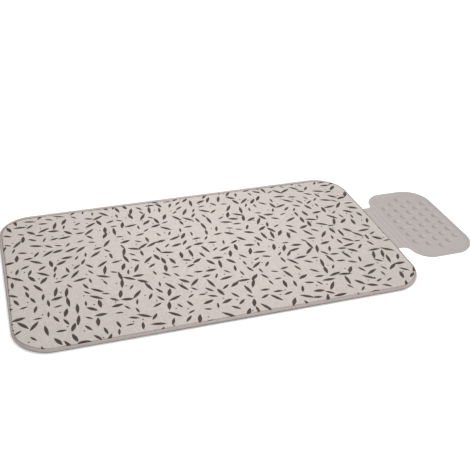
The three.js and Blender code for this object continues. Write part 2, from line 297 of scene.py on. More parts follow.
# Thread and padding
THREAD_ROUGHNESS = 0.6
THREAD_SHEEN = 0.2
PLY_SCALE = 1400.0
PLY_WOBBLE = 0.6
PLY_SHADE = 0.8
PLY_STRENGTH = 0.6
PLY_RELIEF = 0.08 * MM
PADDING_ROUGHNESS = 0.95
CELL_SHADE = 0.75
CELL_STRENGTH = 0.7


def smooth(t):
    """Soft step from 0 to 1."""
    t = np.clip(t, 0, 1)
    return t * t * (3 - 2 * t)


def tongue_rise(x, y):
    """Height by which the blanket is carried over the tongue."""
    beside = np.abs(y - REST_Y) - NECK_HALF - TONGUE_SIDE_MARGIN
    behind = PAD_HALF_X - x - TONGUE_DEPTH - TONGUE_END_MARGIN
    run = FLAT_INSET - TONGUE_DEPTH - TONGUE_END_MARGIN
    return TONGUE_LIFT * (1 - smooth(beside / TONGUE_SIDE_FADE)) * (1 - smooth(behind / run))


def pad_inset(x, y):
    """Distance of a point in plan inside the blanket's outline."""
    qx = np.abs(x) - (PAD_HALF_X - PAD_CORNER)
    qy = np.abs(y) - (PAD_HALF_Y - PAD_CORNER)
    outside = np.hypot(np.maximum(qx, 0), np.maximum(qy, 0))
    return PAD_CORNER - outside - np.minimum(np.maximum(qx, qy), 0)


def stack_envelope(inset):
    """Underside and top of the padding layers at a distance inside the outline."""
    inset = np.asarray(inset, float)
    gauge = BINDING_TAPE + SEAM_CLEARANCE
    across = np.maximum(BINDING_WIDTH - inset, 0) / (BINDING_WIDTH - gauge)
    squeeze = np.sqrt(np.maximum(1 - across * across, 0))
    low = EDGE_MIDDLE - (EDGE_MIDDLE - gauge) * squeeze
    high = EDGE_MIDDLE + (EDGE_HEIGHT - EDGE_MIDDLE - gauge) * squeeze
    under_crown = 1 - (1 - np.clip((inset - BINDING_WIDTH) / UNDERSIDE_RUN, 0, 1)) ** 2
    top_crown = 1 - (1 - np.clip((inset - BINDING_WIDTH) / SHOULDER_RUN, 0, 1)) ** 2
    beyond = inset - BINDING_WIDTH - SEAM_DITCH
    swell = SEAM_SWELL * smooth(beyond / SWELL_RUN) * (1 - top_crown)
    ditch = DITCH_DEPTH * smooth((beyond + DITCH_LEAD) / DITCH_FALL) * (1 - smooth(beyond / DITCH_CLIMB))
    return low * (1 - under_crown), high + (PAD_THICKNESS - high) * top_crown + swell - ditch


def layer_levels(inset):
    """Heights of the five faces between which the four layers lie, the foam trimmed at the seam."""
    under, top = stack_envelope(inset)
    felt = (top - under - 2 * CLOTH) * FELT_SHARE
    trim = FOAM_TRIM * (1 - smooth((inset - BINDING_WIDTH - SWELL_RUN) / TRIM_RUN))
    return [under, under + CLOTH, under + CLOTH + felt, top - CLOTH - trim, top]


def stations(step):
    """Places round the blanket: anchor on the inner rectangle, outward normal, run along the edge."""
    ax, ay = PAD_HALF_X - PAD_CORNER, PAD_HALF_Y - PAD_CORNER
    corners = [(1, 1), (-1, 1), (-1, -1), (1, -1)]
    sides = [2 * ay, 2 * ax, 2 * ay, 2 * ax]
    anchors, normals = [], []
    for k, (sx, sy) in enumerate(corners):
        start = Vector((corners[k - 1][0] * ax, corners[k - 1][1] * ay))
        end = Vector((sx * ax, sy * ay))
        face = Vector((math.cos(k * math.pi / 2), math.sin(k * math.pi / 2)))
        for i in range(round(sides[k] / step)):
            anchors.append(start.lerp(end, i / round(sides[k] / step)))
            normals.append(face)
        arc = round(PAD_CORNER * math.pi / 2 / step)
        for i in range(arc):
            angle = (k + i / arc) * math.pi / 2
            anchors.append(end)
            normals.append(Vector((math.cos(angle), math.sin(angle))))
    anchors, normals = np.array(anchors), np.array(normals)
    line = anchors + normals * (PAD_CORNER - BINDING_WIDTH)
    hop = np.linalg.norm(np.roll(line, -1, axis=0) - line, axis=1)
    return anchors, normals, np.concatenate([[0], np.cumsum(hop)[:-1]]), hop.sum()


def seam_set(points):
    """Points moved with the seam to where it runs on each edge."""
    x, y, z = points.T
    inset = pad_inset(x, y)
    beyond_x = np.maximum(np.abs(x) - (PAD_HALF_X - PAD_CORNER), 0) * np.sign(x)
    beyond_y = np.maximum(np.abs(y) - (PAD_HALF_Y - PAD_CORNER), 0) * np.sign(y)
    reach = np.maximum(np.hypot(beyond_x, beyond_y), TINY)
    fade = np.where(x > 0, 1, smooth((ROLL_FADE_FROM - y) / ROLL_FADE_RUN))
    outward = ROLL * fade * smooth((np.abs(beyond_x) / reach - FACING_FROM) / FACING_RUN)
    inward = TURN_IN * smooth((beyond_y / reach - FACING_FROM) / FACING_RUN)
    within = np.minimum(inset / BINDING_WIDTH, 1) * (1 - smooth((inset - BINDING_WIDTH) / ROLL_RUN))
    upper = smooth((z - tongue_rise(x, y) - EDGE_MIDDLE) / ROLL_RISE)
    shift = (outward - inward) * within * upper / reach
    return points + np.column_stack([shift * beyond_x, shift * beyond_y, np.zeros(len(points))])


def ring(place, inset, z):
    """Row of points round the blanket at one inset and height, carried over the tongue."""
    anchors, normals = place[0], place[1]
    xy = anchors + normals * (PAD_CORNER - np.asarray(inset)).reshape(-1, 1)
    rise = tongue_rise(xy[:, 0], xy[:, 1])
    return seam_set(np.column_stack([xy, np.broadcast_to(z, len(xy)) + rise]))


def mesh_object(name, verts, faces, materials, sharp=None):
    """Smooth mesh with outward normals, and sharp edges from an angle in degrees on."""
    mesh = bpy.data.meshes.new(name)
    mesh.from_pydata([tuple(v) for v in verts], [], faces)
    mesh.validate()
    bm = bmesh.new()
    bm.from_mesh(mesh)
    bmesh.ops.recalc_face_normals(bm, faces=bm.faces)
    bm.to_mesh(mesh)
    bm.free()
    mesh.polygons.foreach_set("use_smooth", [True] * len(mesh.polygons))
    if sharp is not None:
        mesh.set_sharp_from_angle(angle=math.radians(sharp))
    for material in materials:
        mesh.materials.append(material)
    obj = bpy.data.objects.new(name, mesh)
    bpy.context.scene.collection.objects.link(obj)
    return obj


def skin_rows(rows, closed):
    """Quads through rows of points that each close on themselves, with flat ends if it is open."""
    count = len(rows[0])
    faces = []
    for band in range(len(rows) if closed else len(rows) - 1):
        low, high = band * count, (band + 1) % len(rows) * count
        for i in range(count):
            j = (i + 1) % count
            faces.append((low + i, low + j, high + j, high + i))
    if not closed:
        last = (len(rows) - 1) * count
        faces.append(tuple(reversed(range(count))))
        faces.append(tuple(range(last, last + count)))
    return np.concatenate(rows), faces


def doubled(faces, count):
    """Faces of a thin closed body: on top, the same reversed below, and a wall along the open edge."""
    edges = {}
    for face in faces:
        edges.update(dict.fromkeys(zip(face, face[1:] + face[:1])))
    rim = [(a, b) for a, b in edges if (b, a) not in edges]
    shell = [tuple(face) for face in faces]
    shell += [tuple(count + i for i in reversed(face)) for face in faces]
    return shell + [(b, a, count + a, count + b) for a, b in rim]


# Materials

def new_material(name, color, roughness, sheen=0.0):
    material = bpy.data.materials.new(name)
    material.use_nodes = True
    shader = material.node_tree.nodes["Principled BSDF"]
    shader.inputs["Base Color"].default_value = (*color, 1)
    shader.inputs["Roughness"].default_value = roughness
    if sheen:
        shader.inputs["Sheen Weight"].default_value = sheen
        shader.inputs["Sheen Roughness"].default_value = 0.5
    return material, material.node_tree, shader


def add_node(tree, kind, settings=(), **inputs):
    """Node with its settings, and with input values by name, where an underscore stands for a space."""
    node = tree.nodes.new(kind)
    for key, value in dict(settings).items():
        setattr(node, key, value)
    for key, value in inputs.items():
        node.inputs[key.replace("_", " ")].default_value = value
    return node


def ramped(tree, value, span, ends, kind="LINEAR"):
    """Value that runs from one end to the other while its input crosses the span."""
    ramp = add_node(tree, "ShaderNodeMapRange", {"interpolation_type": kind})
    for name, number in zip(("From Min", "From Max", "To Min", "To Max"), (*span, *ends)):
        ramp.inputs[name].default_value = number
    tree.links.new(value, ramp.inputs["Value"])
    return ramp


def mixed(tree, first, second, share):
    """Two factors as one, the second with its share."""
    mix = add_node(tree, "ShaderNodeMix", Factor=share)
    tree.links.new(first, mix.inputs["A"])
    tree.links.new(second, mix.inputs["B"])
    return mix.outputs["Result"]


def tinted(tree, shader, factor, dark, light):
    """Base colour that runs between two tones with a 0 to 1 factor."""
    mix = add_node(tree, "ShaderNodeMix", {"data_type": "RGBA"})
    mix.inputs[6].default_value = (*dark, 1)
    mix.inputs[7].default_value = (*light, 1)
    tree.links.new(factor, mix.inputs[0])
    tree.links.new(mix.outputs[2], shader.inputs["Base Color"])


def woven_height(tree, pitch, turn):
    """Plain weave: two crossed sets of rounded threads, as one height field."""
    where = add_node(tree, "ShaderNodeTexCoord")
    spin = add_node(tree, "ShaderNodeMapping")
    spin.inputs["Rotation"].default_value = (0, 0, turn)
    spin.inputs["Scale"].default_value = (1 / pitch, 1 / pitch, 1 / pitch)
    tree.links.new(where.outputs["Object"], spin.inputs["Vector"])
    axes = add_node(tree, "ShaderNodeSeparateXYZ")
    tree.links.new(spin.outputs["Vector"], axes.inputs[0])
    waves = []
    for axis in ("X", "Y"):
        turns = add_node(tree, "ShaderNodeMath", {"operation": "MULTIPLY"})
        turns.inputs[1].default_value = 2 * math.pi
        tree.links.new(axes.outputs[axis], turns.inputs[0])
        wave = add_node(tree, "ShaderNodeMath", {"operation": "SINE"})
        tree.links.new(turns.outputs[0], wave.inputs[0])
        waves.append(wave)
    both = add_node(tree, "ShaderNodeMath", {"operation": "MULTIPLY"})
    tree.links.new(waves[0].outputs[0], both.inputs[0])
    tree.links.new(waves[1].outputs[0], both.inputs[1])
    return where, both.outputs[0]


def noise_of(tree, where, scale, detail=4.0, roughness=0.55):
    """Even noise as a 0 to 1 factor."""
    noise = add_node(tree, "ShaderNodeTexNoise", Scale=scale, Detail=detail, Roughness=roughness)
    tree.links.new(where.outputs["Object"], noise.inputs["Vector"])
    return noise.outputs["Fac"]


def slub_of(tree, where, along, across):
    """Uneven threads: noise drawn out one way and the other, as one 0 to 1 factor."""
    parts = []
    for scale in ((along, across, along), (across, along, along)):
        stretch = add_node(tree, "ShaderNodeMapping", Scale=scale)
        tree.links.new(where.outputs["Object"], stretch.inputs["Vector"])
        noise = add_node(tree, "ShaderNodeTexNoise", Scale=1.0, Detail=2.0, Roughness=0.5)
        tree.links.new(stretch.outputs["Vector"], noise.inputs["Vector"])
        parts.append(noise.outputs["Fac"])
    return mixed(tree, *parts, 0.5)


def bumped(tree, shader, heights):
    """Normals from several height fields, each with its strength and depth."""
    normal = None
    for height, strength, distance in heights:
        bump = add_node(tree, "ShaderNodeBump", Strength=strength, Distance=distance)
        tree.links.new(height, bump.inputs["Height"])
        if normal is not None:
            tree.links.new(normal, bump.inputs["Normal"])
        normal = bump.outputs["Normal"]
    tree.links.new(normal, shader.inputs["Normal"])


def woven_material(name, color, weave, mottle=0.18, sheen=0.15):
    """Plain woven cloth: cloudy, with uneven threads that show in colour and in relief."""
    material, tree, shader = new_material(name, color, CLOTH_ROUGHNESS, sheen)
    pitch, turn, relief = weave
    where, threads = woven_height(tree, pitch, turn)
    slub = slub_of(tree, where, *SLUB_SCALES)
    shade = mixed(tree, noise_of(tree, where, CLOUD_SCALE), slub, SLUB_SHARE)
    fleck = ramped(tree, slub_of(tree, where, *FLECK_SCALES), FLECK_SPAN, (0, 1))
    shade = mixed(tree, shade, fleck.outputs["Result"], FLECK_SHARE)
    dark = [c * (1 - mottle) for c in color]
    light = [min(c * (1 + mottle), 1) for c in color]
    tinted(tree, shader, shade, dark, light)
    bumped(tree, shader, [(threads, WEAVE_STRENGTH, relief), (slub, SLUB_STRENGTH, 2 * relief)])
    return material


def tape_material(name, color):
    """Bias tape, woven on the slant, with painted shade that darkens it towards its lower side."""
    material = woven_material(name, color, TAPE_WEAVE)
    tree = material.node_tree
    socket = tree.nodes["Principled BSDF"].inputs["Base Color"]
    where = add_node(tree, "ShaderNodeTexCoord")
    axes = add_node(tree, "ShaderNodeSeparateXYZ")
    tree.links.new(where.outputs["Object"], axes.inputs[0])
    # Painted shade: the tape's colour darkens towards its lower side, in place of the shadow beneath the
    # bound edge
    painted_shade = ramped(tree, axes.outputs["Z"], PAINTED_SHADE_HEIGHTS, PAINTED_SHADE_TONES, "SMOOTHSTEP")
    mix = add_node(tree, "ShaderNodeMix", {"data_type": "RGBA", "blend_type": "MULTIPLY"})
    mix.inputs[0].default_value = 1
    tree.links.new(socket.links[0].from_socket, mix.inputs[6])
    tree.links.new(painted_shade.outputs["Result"], mix.inputs[7])
    tree.links.new(mix.outputs[2], socket)
    return material


def silicone_material(name, color):
    """Moulded silicone, cloudy in colour and with a fine grain in relief."""
    material, tree, shader = new_material(name, color, SILICONE_ROUGHNESS)
    shader.inputs["Specular IOR Level"].default_value = SILICONE_SPECULAR
    shader.inputs["Subsurface Weight"].default_value = SILICONE_SCATTER
    shader.inputs["Subsurface Radius"].default_value = SILICONE_RADII
    where = add_node(tree, "ShaderNodeTexCoord")
    dark = [c * (1 - SILICONE_MOTTLE) for c in color]
    light = [c * (1 + SILICONE_MOTTLE) for c in color]
    tinted(tree, shader, noise_of(tree, where, SILICONE_CLOUDS), dark, light)
    bumped(tree, shader, [(noise_of(tree, where, SKIN_SCALE, 2.0), SKIN_STRENGTH, SKIN_RELIEF)])
    return material


def thread_material(name, color):
    """Twisted thread: slanting plies that show in colour and in relief."""
    material, tree, shader = new_material(name, color, THREAD_ROUGHNESS, THREAD_SHEEN)
    where = add_node(tree, "ShaderNodeTexCoord")
    slant = {"bands_direction": "DIAGONAL"}
    ply = add_node(tree, "ShaderNodeTexWave", slant, Scale=PLY_SCALE, Distortion=PLY_WOBBLE)
    tree.links.new(where.outputs["Object"], ply.inputs["Vector"])
    tinted(tree, shader, ply.outputs["Fac"], [c * PLY_SHADE for c in color], color)
    bumped(tree, shader, [(ply.outputs["Fac"], PLY_STRENGTH, PLY_RELIEF)])
    return material


def padding_material(name, color, cell, relief):
    """Foam or felt: small cells that show in colour and in relief."""
    material, tree, shader = new_material(name, color, PADDING_ROUGHNESS)
    where = add_node(tree, "ShaderNodeTexCoord")
    cells = add_node(tree, "ShaderNodeTexVoronoi", Scale=1 / cell)
    tree.links.new(where.outputs["Object"], cells.inputs["Vector"])
    tinted(tree, shader, cells.outputs["Distance"], [c * CELL_SHADE for c in color], color)
    bumped(tree, shader, [(cells.outputs["Distance"], CELL_STRENGTH, relief)])
    return material


COTTON = woven_material("printed_cotton", (0.577, 0.512, 0.476), COVER_WEAVE)
INK = woven_material("printed_ink", (0.058, 0.041, 0.034), COVER_WEAVE, mottle=0.15, sheen=0.04)
TAPE = tape_material("binding_tape", (0.452, 0.390, 0.362))
BASE = woven_material("base_cotton", (0.56, 0.53, 0.49), BASE_WEAVE)
SILICONE = silicone_material("silicone", (0.442, 0.396, 0.378))
THREAD = thread_material("thread", (0.130, 0.111, 0.102))
FOAM = padding_material("foam", (0.78, 0.73, 0.58), cell=0.9 * MM, relief=0.3 * MM)
FELT = padding_material("felt", (0.48, 0.46, 0.43), cell=0.35 * MM, relief=0.15 * MM)


# Blanket pieces

def layer_piece(name, level, material):
    """One padding or backing layer as a closed slab that follows the squeezed edge."""
    place = stations(LAYER_STEP)
    insets = [LAYER_CUT_BACK, *EDGE_RINGS, *SEAM_RINGS]
    insets += [BINDING_WIDTH + SHOULDER_RUN * t for t in SHOULDER_SHARES]
    outward = [ring(place, s, layer_levels(s)[level]) for s in reversed(insets)]
    inward = [ring(place, s, layer_levels(s)[level + 1]) for s in insets]
    verts, faces = skin_rows(outward + inward, False)
    return mesh_object(name, verts, faces, [material], LAYER_SHARP)


def binding_piece():
    """Bias tape folded round the edge, with turned-in lips and a slight pucker at each stitch."""
    place = stations(STITCH_PITCH / 2)
    lap = 2 * math.pi * place[2] / place[3]
    pull = np.cos(lap * round(place[3] / STITCH_PITCH))
    drift = np.sin(lap * DRIFT_WAVES[0]) + np.sin(lap * DRIFT_WAVES[1] + 1)
    turns = [k / TAPE_STEPS * math.pi / 2 for k in range(-TAPE_STEPS, TAPE_STEPS + 1)]

    def fold(turn, gauge):
        """Inset and height on the fold, a gauge inside its outer face."""
        height = EDGE_MIDDLE if turn < 0 else EDGE_HEIGHT - EDGE_MIDDLE
        inset = BINDING_WIDTH - (BINDING_WIDTH - gauge) * math.cos(turn)
        return inset, EDGE_MIDDLE + (height - gauge) * math.sin(turn)

    def lip(side):
        """Rounded end of the tape at the seam, above or below."""
        half = BINDING_TAPE / 2
        middle = fold(side * math.pi / 2, half)[1]
        rows = []
        for angle in (math.pi / 4, math.pi / 2, 3 * math.pi / 4):
            inset = BINDING_WIDTH + LIP_BULGE * half * math.sin(angle)
            rows.append(ring(place, inset, middle + half * math.cos(angle)))
        return rows

    outer = []
    for turn in turns:
        inset, z = fold(turn, 0)
        near_seam = max(abs(turn) / (math.pi / 2) - PUCKER_FROM, 0) / (1 - PUCKER_FROM)
        sink = PUCKER * near_seam * (1 + pull) / 2 + DRIFT * drift * (1 - near_seam)
        outer.append(ring(place, inset + sink * math.cos(turn), z - sink * math.sin(turn)))
    inner = [ring(place, *fold(turn, BINDING_TAPE)) for turn in reversed(turns)]
    verts, faces = skin_rows(outer + lip(1) + inner + lip(-1), True)
    return mesh_object("edge_binding_tape", verts, faces, [TAPE], TAPE_SHARP)


def stitch_shape():
    """One stitch along X: a short thread that dips at both ends, as unit rows."""
    angles = np.arange(STITCH_SIDES) / STITCH_SIDES * 2 * math.pi
    rows = []
    for t in np.linspace(0, 1, STITCH_ROWS):
        end = (2 * t - 1) ** 4
        thick = 1 - STITCH_THIN * end
        along = np.full(STITCH_SIDES, t - 0.5)
        rise = thick * np.sin(angles) - STITCH_DIP * end
        rows.append(np.column_stack([along, thick * np.cos(angles), rise]))
    return rows


def stitch_row(name, starts, forwards, ups, radius=THREAD_RADIUS):
    """Many stitches as one piece, each laid at its own place and direction."""
    unit, faces = skin_rows(stitch_shape(), False)
    verts, all_faces = [], []
    for p, f, u in zip(starts, forwards, ups):
        side = np.cross(u, f)
        base = len(verts) * len(unit)
        points = p + np.outer(unit[:, 0] * STITCH_LENGTH, f) + np.outer(unit[:, 1] * radius, side)
        verts.append(points + np.outer(unit[:, 2] * radius, u))
        all_faces += [tuple(base + i for i in face) for face in faces]
    return mesh_object(name, np.concatenate(verts), all_faces, [THREAD], THREAD_SHARP)


def ditch_stitches(name, above):
    """Stitches all round in the ditch beside the binding."""
    place = stations(STITCH_PITCH)
    inset = BINDING_WIDTH + STITCH_INSET
    under, top = stack_envelope(inset + THREAD_RADIUS)
    z = top + THREAD_RADIUS if above else under - BOBBIN_DROP
    row = ring(place, inset, z)
    ahead = np.roll(row, -1, axis=0) - np.roll(row, 1, axis=0)
    ahead /= np.linalg.norm(ahead, axis=1)[:, None]
    ups = np.tile([0, 0, 1.0 if above else -1.0], (len(row), 1))
    return stitch_row(name, row, ahead, ups)


def tongue_stitches():
    """Stitches that hold the tongue, in the groove on its underside."""
    count = round(2 * NECK_HALF * TONGUE_SEAM_SHARE / STITCH_PITCH)
    low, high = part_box("tongue_thread")
    x, z = (low.x + high.x) / 2, (low.z + high.z) / 2
    ys = REST_Y + (np.arange(count) - (count - 1) / 2) * STITCH_PITCH
    starts = np.column_stack([np.full(count, x), ys, np.full(count, z)])
    forwards = np.tile([0, 1.0, 0], (count, 1))
    ups = np.tile([0, 0, -1.0], (count, 1))
    return stitch_row("tongue_stitches", starts, forwards, ups, TONGUE_THREAD_RADIUS)


# Printed cover

def grain_outline(length, width):
    """Pointed oval along X: two shallow arcs that meet at both tips."""
    t = np.linspace(-1, 1, GRAIN_STEPS)
    lower = np.column_stack([t * length / 2, (t * t - 1) * width / 2])
    return np.concatenate([lower, lower[-2:0:-1] * (1, -1)])


def dot_outline():
    """Small round dot about the origin."""
    angle = np.arange(DOT_STEPS) / DOT_STEPS * 2 * math.pi
    return np.column_stack([np.cos(angle), np.sin(angle)]) * DOT_SIZE / 2


def print_marks():
    """Plain pointed grains in four sizes, evenly scattered at all angles, with dots between them."""
    rng = np.random.default_rng(PRINT_SEED)
    columns = int(PAD_HALF_X / PRINT_PITCH) + 1
    rows = int(PAD_HALF_Y / PRINT_PITCH) + 1
    lattice = []
    for c in range(-columns, columns + 1):
        lattice += [(c, r + 0.5 * (c % 2)) for r in range(-rows, rows + 1)]
    places = np.array(lattice) * PRINT_PITCH
    places += rng.uniform(-PRINT_JITTER, PRINT_JITTER, places.shape) * PRINT_PITCH
    for _ in range(PRINT_ROUNDS):
        away = places[:, None] - places
        gap = np.linalg.norm(away, axis=2) + np.eye(len(places))
        push = np.clip(PRINT_GAP * PRINT_PITCH - gap, 0, None) * (1 - np.eye(len(places))) / gap
        places += PRINT_PUSH * (away * push[..., None]).sum(axis=1)
    marks = []
    for k, place in enumerate(places):
        length, width = GRAINS[rng.integers(len(GRAINS))]
        tilt = rng.uniform(0, math.pi)
        spin = np.array([[math.cos(tilt), math.sin(tilt)], [-math.sin(tilt), math.cos(tilt)]])
        marks.append(grain_outline(length, width) @ spin + place)
        if k % DOT_EVERY == 0:
            aside = np.array((-spin[0, 1], spin[0, 0])) * DOT_ASIDE
            marks.append(dot_outline() + place + aside)
    return marks


def cut_to_cover(points, place, least):
    """The part of a mark that lies on the cover, whose edge is hidden in the binding."""
    for anchor, normal in zip(place[0], place[1]):
        side = (points - anchor) @ normal - (PAD_CORNER - least)
        if side.max() <= 0:
            continue
        kept = []
        for k in range(len(points)):
            if (side[k - 1] < 0) != (side[k] < 0):
                share = side[k - 1] / (side[k - 1] - side[k])
                kept.append(points[k - 1] + (points[k] - points[k - 1]) * share)
            if side[k] < 0:
                kept.append(points[k])
        if len(kept) < 3:
            return None
        points = np.array(kept)
    return points


def shouldered(mark):
    """A mark near the seam with points close enough together to follow the shoulder there."""
    if pad_inset(mark[:, 0], mark[:, 1]).min() > SHOULDER_ZONE:
        return mark
    path = []
    for a, b in zip(mark, np.roll(mark, -1, axis=0)):
        steps = max(math.ceil(np.linalg.norm(b - a) / SHOULDER_STEP), 1)
        path.append(a + (b - a) * (np.arange(steps) / steps)[:, None])
    return np.concatenate(path)


def shoulder_points(mark):
    """Points down the middle of a mark that crosses the shoulder."""
    if pad_inset(mark[:, 0], mark[:, 1]).min() > SHOULDER_ZONE:
        return np.empty((0, 2))
    centre = mark.mean(axis=0)
    return np.concatenate([centre + (mark - centre) * share for share in SHOULDER_SCALES])


def far_from_marks(points, marks, gap):
    """The points that lie further than a gap from every mark's outline."""
    keep = np.ones(len(points), bool)
    for mark in marks:
        centre = mark.mean(axis=0)
        reach = np.linalg.norm(mark - centre, axis=1).max() + gap
        close = np.nonzero(keep & (np.linalg.norm(points - centre, axis=1) < reach))[0]
        if not len(close):
            continue
        a, b = mark, np.roll(mark, -1, axis=0)
        d = b - a
        rel = points[close][:, None] - a
        t = np.clip((rel * d).sum(2) / (d * d).sum(1), 0, 1)
        gaps = np.linalg.norm(rel - t[..., None] * d, axis=2).min(axis=1)
        keep[close[gaps < gap]] = False
    return points[keep]


def cover_heights():
    """Slightly loose cloth held along its seam and simulated, as extra height on a grid."""
    nx = round((PAD_HALF_X - BINDING_WIDTH) / SIM_STEP)
    ny = round((PAD_HALF_Y - BINDING_WIDTH) / SIM_STEP)
    gx = np.linspace(-1, 1, 2 * nx + 1) * (PAD_HALF_X - BINDING_WIDTH)
    gy = np.linspace(-1, 1, 2 * ny + 1) * (PAD_HALF_Y - BINDING_WIDTH)
    flat = np.zeros((len(gx), len(gy)))
    x, y = np.meshgrid(gx, gy, indexing="ij")
    rng = np.random.default_rng(SIM_SEED)
    ruffle = flat.copy()
    for _ in range(RUFFLE_COUNT):
        angle, phase = rng.uniform(0, 2 * math.pi, 2)
        wave = 2 * math.pi / (rng.uniform(*RUFFLE_LENGTHS) * MM)
        ruffle += np.sin(wave * (x * math.cos(angle) + y * math.sin(angle)) + phase)
    seam = pad_inset(x, y) < BINDING_WIDTH + SIM_STEP / 2
    ruffle = np.where(seam, 0, ruffle * RUFFLE_HEIGHT)
    index = np.arange(x.size).reshape(x.shape)
    corners = np.stack([index[:-1, :-1], index[1:, :-1], index[1:, 1:], index[:-1, 1:]], axis=-1)
    points = np.column_stack([x.ravel(), y.ravel(), ruffle.ravel()]) * SIM_SCALE
    cloth = mesh_object("cover_drape", points, corners.reshape(-1, 4).tolist(), [])
    cloth.vertex_groups.new(name="seam").add(np.nonzero(seam.ravel())[0].tolist(), 1, "ADD")
    drape = cloth.modifiers.new("drape", "CLOTH")
    drape.settings.quality = SIM_QUALITY
    drape.settings.vertex_group_mass = "seam"
    drape.settings.tension_stiffness = SIM_STIFFNESS
    drape.settings.compression_stiffness = SIM_STIFFNESS
    drape.settings.shear_stiffness = SIM_SHEAR
    drape.settings.bending_stiffness = SIM_BENDING
    drape.settings.shrink_min = -SIM_SLACK
    drape.settings.effector_weights.gravity = 0
    drape.collision_settings.use_collision = False
    drape.point_cache.frame_end = SIM_FRAMES
    scene = bpy.context.scene
    for number in range(1, SIM_FRAMES + 1):
        scene.frame_set(number)
    settled = cloth.evaluated_get(bpy.context.evaluated_depsgraph_get()).to_mesh()
    place = np.empty(3 * x.size)
    settled.vertices.foreach_get("co", place)
    height = place.reshape(-1, 3)[:, 2].reshape(x.shape) / SIM_SCALE
    bpy.data.meshes.remove(cloth.data)
    scene.frame_set(1)
    return gx, gy, SIM_CAP * (0.5 + 0.5 * np.tanh(height / MM))


def sample_grid(grid, x, y):
    """Height at points in plan, between the grid's own points."""
    gx, gy, height = grid
    fx = np.clip((x - gx[0]) / (gx[1] - gx[0]), 0, len(gx) - 1 - TINY)
    fy = np.clip((y - gy[0]) / (gy[1] - gy[0]), 0, len(gy) - 1 - TINY)
    i, j = fx.astype(int), fy.astype(int)
    u, v = fx - i, fy - j
    low = height[i, j] * (1 - u) + height[i + 1, j] * u
    high = height[i, j + 1] * (1 - u) + height[i + 1, j + 1] * u
    return low * (1 - v) + high * v


def cover_plan(marks, place):
    """Mesh of the cover in plan, with edges along the seam, and which of its faces lie in a mark."""
    edge = ring(place, LAYER_CUT_BACK, 0)[:, :2]
    creases = [ring(place, s, 0)[:, :2] for s in SEAM_RINGS]
    fill = [ring(place, s, 0)[:, :2] for s in (*EDGE_RINGS, *SHOULDER_RINGS)]
    ys = np.arange(-PAD_HALF_Y, PAD_HALF_Y, MESH_STEP * math.sqrt(3) / 2)
    for k, y in enumerate(ys):
        xs = np.arange(-PAD_HALF_X, PAD_HALF_X, MESH_STEP) + (k % 2) * MESH_STEP / 2
        line = np.column_stack([xs, np.full(len(xs), y)])
        fill.append(line[pad_inset(line[:, 0], line[:, 1]) > MESH_INSET])
    fill = far_from_marks(np.concatenate(fill), marks, MARK_GAP)
    fill = np.concatenate([fill, *[shoulder_points(mark) for mark in marks]])
    points = [edge, *marks, *creases, fill]
    starts = np.cumsum([0] + [len(p) for p in points])
    runs = [list(range(a, b)) for a, b in zip(starts, starts[1:])]
    outlines = runs[: 1 + len(marks)]
    along = [pair for run in runs[1 + len(marks) : -1] for pair in zip(run, run[1:] + run[:1])]
    flat = [Vector(p) for p in np.concatenate(points)]
    verts, _, faces, _, _, origins = delaunay_2d_cdt(flat, along, outlines, 1, MESH_TOLERANCE, True)
    return np.array(verts), faces, [max(origin, default=0) > 0 for origin in origins]


def cover_piece():
    """Printed cover as a thin closed cloth: its faces inside the marks take the ink."""
    place = stations(COVER_STEP)
    marks = [cut_to_cover(mark, place, LAYER_CUT_BACK + PRINT_MARGIN) for mark in print_marks()]
    marks = [shouldered(mark) for mark in marks if mark is not None]
    plan, faces, inked = cover_plan(marks, place)
    inset = pad_inset(plan[:, 0], plan[:, 1])
    fade = smooth((inset - BINDING_WIDTH - DRAPE_FROM) / DRAPE_RUN)
    extra = sample_grid(cover_heights(), plan[:, 0], plan[:, 1]) * fade
    top = stack_envelope(inset)[1] + tongue_rise(plan[:, 0], plan[:, 1]) + extra
    upper = seam_set(np.column_stack([plan, top]))
    lower = seam_set(np.column_stack([plan, top - CLOTH]))
    shell = doubled(faces, len(plan))
    mesh = bpy.data.meshes.new("top_cover_cloth")
    mesh.from_pydata([tuple(v) for v in np.concatenate([upper, lower])], [], shell)
    mesh.materials.append(COTTON)
    mesh.materials.append(INK)
    index = [int(i) for i in inked] + [0] * (len(shell) - len(inked))
    mesh.polygons.foreach_set("material_index", index)
    mesh.polygons.foreach_set("use_smooth", [True] * len(shell))
    mesh.set_sharp_from_angle(angle=math.radians(COVER_SHARP))
    obj = bpy.data.objects.new("top_cover_cloth", mesh)
    bpy.context.scene.collection.objects.link(obj)
    return obj


# Silicone rest

def rest_half_width(x):
    """Half width of the rest's outline: the neck's fillet sweeps into the plate's near corner."""
    x = np.asarray(x, float)
    span = NECK_FILLET + NEAR_CORNER
    turn = math.acos(max(span - (PLATE_HALF - NECK_HALF), 0) / span)
    corner_x = PLATE_START + NEAR_CORNER
    fillet_x = corner_x - span * math.sin(turn)
    into = np.clip(x - fillet_x, 0, NECK_FILLET)
    tip = np.clip(TONGUE_CORNER - (x - TONGUE_LOW.x), 0, TONGUE_CORNER)
    neck = NECK_HALF + NECK_FILLET - np.sqrt(NECK_FILLET**2 - into**2)
    neck = neck - TONGUE_CORNER + np.sqrt(TONGUE_CORNER**2 - tip**2)
    back = np.clip(corner_x - x, 0, NEAR_CORNER)
    corner = PLATE_HALF - NEAR_CORNER + np.sqrt(NEAR_CORNER**2 - back**2)
    return np.where(x < fillet_x + NECK_FILLET * math.sin(turn), neck, corner)


def rest_top(x):
    """Top of the rest along X: full at each rib, thin at each groove, then climbing to the rim."""
    x = np.asarray(x, float)
    rib = RIB_RISE * np.sin(math.pi * (x - GROOVE_X[0]) / RIB_PITCH) ** 2
    climb = smooth((x - GROOVE_X[-1]) / PLATE_RAMP)
    ribbed = x < GROOVE_X[-1] + RIB_PITCH
    return GROOVE_THICKNESS + np.where(ribbed, rib, 0) + (RIM_HEIGHT - GROOVE_THICKNESS) * climb


